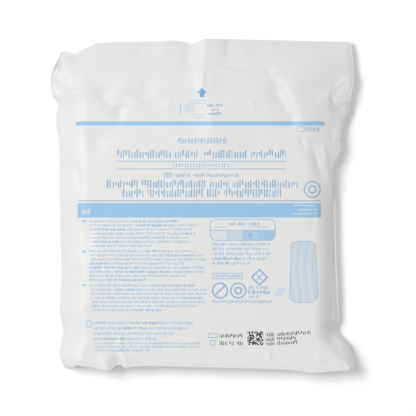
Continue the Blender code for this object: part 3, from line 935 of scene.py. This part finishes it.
def printed_film():
    finish = Finish("front_film", IOR=1.5, Specular_IOR_Level=0.35)
    place = finish.node("ShaderNodeTexCoord", {}, {}, "Object")
    film = finish.node("ShaderNodeUVMap", {"uv_map": "flat_film"}, {})
    u = finish.node("ShaderNodeSeparateXYZ", {}, {0: film}, "X") / MM
    v = finish.node("ShaderNodeSeparateXYZ", {}, {0: film}, "Y") / MM

    def within(value, low, high):
        return abs(value - (low + high) / 2) < (high - low) / 2

    def filled(bar):
        return within(u, bar.left, bar.right) * within(v, bar.low, bar.high)

    def any_of(masks):
        """The largest of the masks, each made only when it is needed, so that few are held at once."""
        masks = iter(masks)
        total = next(masks)
        for mask in masks:
            total = total.larger(mask)
        return total

    def rounded(bar, corner, inset=0.0):
        """A bar with rounded corners, drawn in all round by the inset."""
        reach_u = (bar.right - bar.left) / 2 - corner
        reach_v = (bar.high - bar.low) / 2 - corner
        off_u = (abs(u - (bar.left + bar.right) / 2) - reach_u).larger(0.0)
        off_v = (abs(v - (bar.low + bar.high) / 2) - reach_v).larger(0.0)
        return (off_u * off_u + off_v * off_v).root() < corner - inset

    def outlined(bar, corner, line):
        return rounded(bar, corner) - rounded(bar, corner, line)

    def ring(circle):
        off_u, off_v = u - circle.x, v - circle.y
        return abs((off_u * off_u + off_v * off_v).root() - circle.radius) < circle.line / 2

    def chance(cell, row):
        """A fixed random number from 0 to 1 for each cell of each row."""
        return finish.node("ShaderNodeTexWhiteNoise", {"noise_dimensions": "1D"}, {"W": cell + row * 7.31})

    def strokes(pitch, weight, row, level):
        """Uneven upright strokes along a row, some shorter than others, that stand for print."""
        place_along = u / pitch
        cell = place_along.floor()
        luck, other = chance(cell, row), chance(cell, row + 31.7)
        across = abs(place_along % 1.0 - (luck * 0.3 + 0.35)) < other * 0.12 + weight
        return across * (level > (other > 0.8) * 0.35) * (level < 1 - (luck > 0.5) * 0.25)

    def printed(lines, letters, height=v):
        """Lines of greeked words. Each place looks up which line it is in, and how far up that line."""
        words, row, level = 0.0, 0.0, 0.0
        for line in lines:
            mask = any_of(within(u, start, end) for start, end in line.words)
            mask = mask * within(height, line.low, line.high)
            words = words + mask
            row = row + mask * line.low
            level = level + mask * (line.high - line.low)
        return strokes(letters.pitch, letters.weight, row, (height - row) / level) * words

    def small_print(blocks):
        """Rows of greeked small print. Each place looks up its block's measures."""
        inside, left, right, top, pitch, tall, rows = 0.0, 0.0, 0.0, 0.0, 0.0, 0.0, 0.0
        for block in blocks:
            foot = block.top - block.rows * block.pitch
            mask = within(u, block.left, block.right) * within(v, foot, block.top)
            inside = inside + mask
            left, right = left + mask * block.left, right + mask * block.right
            top, pitch = top + mask * block.top, pitch + mask * block.pitch
            tall, rows = tall + mask * block.tall, rows + mask * block.rows
        depth = (top - v) / pitch
        row = depth.floor() + top
        luck = chance(row, 3.7)
        # Rows end unevenly, and the last one of a block is short
        end = right - (luck * luck * 0.2 + (depth > rows - 1) * 0.35) * (right - left)
        level = 1 - (depth % 1.0) * (pitch / tall)
        # There are gaps between words, and a few words together are bold
        word = (u + luck * 40) / (tall * 2.7)
        space = abs(word % 1.0 - chance(word.floor(), row) * 0.9) > 0.07
        bold = chance((word / 4.0).floor(), row + 5.3) > 0.82
        marks = strokes(tall * 0.42, bold * 0.14 + 0.23, row, level)
        return marks * space * inside * (u < end) * (level > 0.0)

    cloudy, relief = film_grain(finish, place)
    depth = finish.node("ShaderNodeAttribute", {"attribute_name": "header_depth"}, {}, 2)
    relief = relief + (depth * (np.pi * 2 / CRIMP_PITCH)).sine() * (depth < HEADER_SEAL_WIDTH) * CRIMP_DEPTH
    colour = finish.blend(FILM_WHITE, FILM_CLOUD, cloudy)

    # Small print, lines of words, and the two bands
    colour = finish.blend(colour, INK_SOFT, small_print(BLOCKS) * 0.95)
    colour = finish.blend(colour, INK_SOFT, any_of(filled(mark) for mark in MARKS) * 0.9)
    colour = finish.blend(colour, INK_TEXT, printed(SMALL_LINES, SMALL_LETTERS) * 0.85)
    colour = finish.blend(colour, INK_TEXT, printed(TINY_LINES, TINY_LETTERS) * 0.85)
    colour = finish.blend(colour, INK_TEXT, printed(HEADINGS, HEADING_LETTERS))
    colour = finish.blend(colour, INK_TEXT, printed(SPACED_LINES, SPACED_LETTERS) * 0.9)
    bands = any_of(filled(bar) for bar in BANDS)
    colour = finish.blend(colour, INK_BLUE, bands * 0.97)
    colour = finish.blend(colour, FILM_WHITE, printed(WHITE_LINES, SMALL_LETTERS) * 0.85)

    # Rules, frames and plain rings; one ring is barred, and a lozenge stands beside them
    lined = any_of(filled(rule) for rule in RULES)
    lined = lined.larger(any_of(outlined(bar, 0.6, 0.55) for bar in FRAMES))
    lined = lined.larger(outlined(SCALE_FRAME, SCALE_CORNER, 0.6))
    lined = lined.larger(any_of(ring(circle) for circle in RINGS))
    slash = abs((u - BARRED_RING.x) - (v - BARRED_RING.y)) < 0.9
    lined = lined.larger(slash * ring(BARRED_RING._replace(radius=3.0, line=6.0)))
    lined = lined.larger(abs(abs(u - LOZENGE.x) + abs(v - LOZENGE.y) - LOZENGE_REACH) < 0.95)
    cross = abs(abs(u - LOZENGE.x) - abs(v - LOZENGE.y)) < 0.6
    lined = lined.larger(cross * (abs(u - LOZENGE.x) < 2.6))
    colour = finish.blend(colour, INK_TEXT, lined * 0.92)

    # The arrow and the parting lines that show where to peel the header open
    spread = abs(v - PARTING.y) - ((u - PARTING.x) * 0.5).larger(0.0).smaller(PARTING_SPREAD)
    peel = within(u, -17.5, 1.6) * (abs(abs(spread - 1.6) - 1.1) < 0.3)
    ticks = within(u, -14.0, -8.0) * (abs(v - PARTING.y) < 2.2) * (abs((u / 2.0) % 1.0 - 0.5) < 0.2)
    colour = finish.blend(colour, INK_TEXT, peel.larger(ticks) * 0.5)
    head = (v > ARROW_SHOULDER) * (abs(u - ARROW.x) < (ARROW.y - v) * 0.85)
    shaft = within(v, 93.0, 97.0) * (abs(u - ARROW.x) < 1.9)
    colour = finish.blend(colour, INK_DEEP, head.larger(shaft))

    # The scale of cells from pale to deep, and its dots
    cells = sum((filled(bar) * tone for bar, tone in CELLS), 0.0) * rounded(SCALE_FRAME, SCALE_CORNER, 0.6)
    colour = finish.blend(colour, INK_BLUE, cells)
    dots = ring(DARK_DOT) + ring(PALE_DOT) * 0.4
    colour = finish.blend(colour, INK_DEEP, dots * 0.7)

    # A folded towel, and a swatch of draped cloth
    slant = abs(u - TOWEL.x - (v - TOWEL.y) * 0.8)
    towel = (abs(v - TOWEL.y) < 3.5) * (slant < 3.2)
    towel_edge = towel - (abs(v - TOWEL.y) < 3.0) * (slant < 2.6)
    colour = finish.blend(colour, INK_BLUE, (towel * 0.22).larger(towel_edge * 0.6))
    sway = (v * 0.09).sine() * 1.4
    drape = ((u * 0.95 + sway).sine() + (u * 2.3 + sway * 1.6).sine() * 0.5) * 0.33
    drape = drape + (v - SWATCH_MIDDLE.y) * 0.004 + 0.5
    reach = 10.6 - (v + 29.6) * 0.04
    swatch = rounded(SWATCH, SWATCH_CORNER) * (abs(u - SWATCH_MIDDLE.x) < reach)
    swatch_inside = rounded(SWATCH, SWATCH_CORNER, 0.7) * (abs(u - SWATCH_MIDDLE.x) < reach - 0.7)
    swatch_edge = swatch - swatch_inside
    colour = finish.blend(colour, INK_SOFT, (swatch * (0.22 + drape * 0.32)).larger(swatch_edge * 0.75))

    # Black print, put on later by an inkjet head: lines of figures and a square of random modules
    numbers = printed(BLACK_LINES, FIGURES)
    start = NUMBER_LINES[0].words[0][0]
    numbers = numbers.larger(printed(NUMBER_LINES, FIGURES, v - (u - start) * NUMBER_TILT))
    modules = filled(MODULES) * (chance((u / MODULE).floor(), (v / MODULE).floor()) > WHITE_MODULES)
    colour = finish.blend(colour, INK_BLACK, (numbers * 0.93).larger(modules))
    finish.feed(
        Base_Color=colour,
        Roughness=cloudy * 0.12 + 0.38 + bands * 0.04,
        Normal=finish.raise_by(relief, 0.0005),
    )
    return finish.material


x, y = footprint(FRONT_CELLS)
inside = np.stack([x, y, front_inner(x, y)], axis=2)
outside = lifted(inside, film_thickness(x, y))
front_web = film_shell("front_web_of_film", inside, outside)
give_map(front_web, np.tile(x.ravel(), 2) * PRINT_SCALE, np.tile(y.ravel(), 2) * PRINT_SCALE)
give_depth(front_web, np.tile((edge_at(FAR_EDGE, x) - y).ravel(), 2))
front_web.data.materials.append(printed_film())
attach(front_web, "root")
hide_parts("front_web")


# The studio: the pack lies on a white acrylic table, faintly lit from below, under one large soft light from
# its upper left, with an even white room round it. The camera looks straight down from far above, as on a
# copy stand.

TABLE_WHITE = (0.97, 0.97, 0.97, 1.0)
TABLE_GLOW = 0.045
TABLE_HALF = 2.5
TABLE_LEVEL = -0.3 * MM
CAMERA_HEIGHT = 4.0
PICTURE_PIXELS = 416
PIXEL = 0.85 * MM
PICTURE_WIDTH = PICTURE_PIXELS * PIXEL
PICTURE_MIDDLE = (3.65 * MM, -1.28 * MM)


def table_top():
    finish = Finish(
        "table_white", Roughness=0.8, Specular_IOR_Level=0.2, Emission_Color=(1.0, 1.0, 1.0, 1.0),
        Emission_Strength=TABLE_GLOW,
    )
    place = finish.node("ShaderNodeTexCoord", {}, {}, "Object")
    finish.feed(Base_Color=finish.blend(TABLE_WHITE, (0.96, 0.96, 0.96, 1.0), finish.noise(place, 3.0)))
    return finish.material


table_corners = [
    (side_x * TABLE_HALF, side_y * TABLE_HALF, TABLE_LEVEL)
    for side_x, side_y in ((-1, -1), (1, -1), (1, 1), (-1, 1))
]
table = make_object("table_top", table_corners, [(0, 1, 2, 3)])
table.data.materials.append(table_top())

scene = bpy.context.scene
camera_data = bpy.data.cameras.new("copy_stand_camera")
camera = bpy.data.objects.new("copy_stand_camera", camera_data)
scene.collection.objects.link(camera)
camera_data.lens = camera_data.sensor_width * CAMERA_HEIGHT / PICTURE_WIDTH
camera.location = (*PICTURE_MIDDLE, CAMERA_HEIGHT)
scene.camera = camera

light_data = bpy.data.lights.new("soft_light", "AREA")
light_data.energy = 65.0
light_data.size = 1.3
light = bpy.data.objects.new("soft_light", light_data)
light.location = (-1.42, 0.56, 3.0)
light.rotation_euler = (-light.location).to_track_quat("-Z", "Y").to_euler()
scene.collection.objects.link(light)

room = bpy.data.worlds.new("white_room")
scene.world = room
room.use_nodes = True
room.node_tree.nodes["Background"].inputs["Color"].default_value = (1.0, 1.0, 1.0, 1.0)
room.node_tree.nodes["Background"].inputs["Strength"].default_value = 0.55
scene.view_settings.view_transform = "Standard"
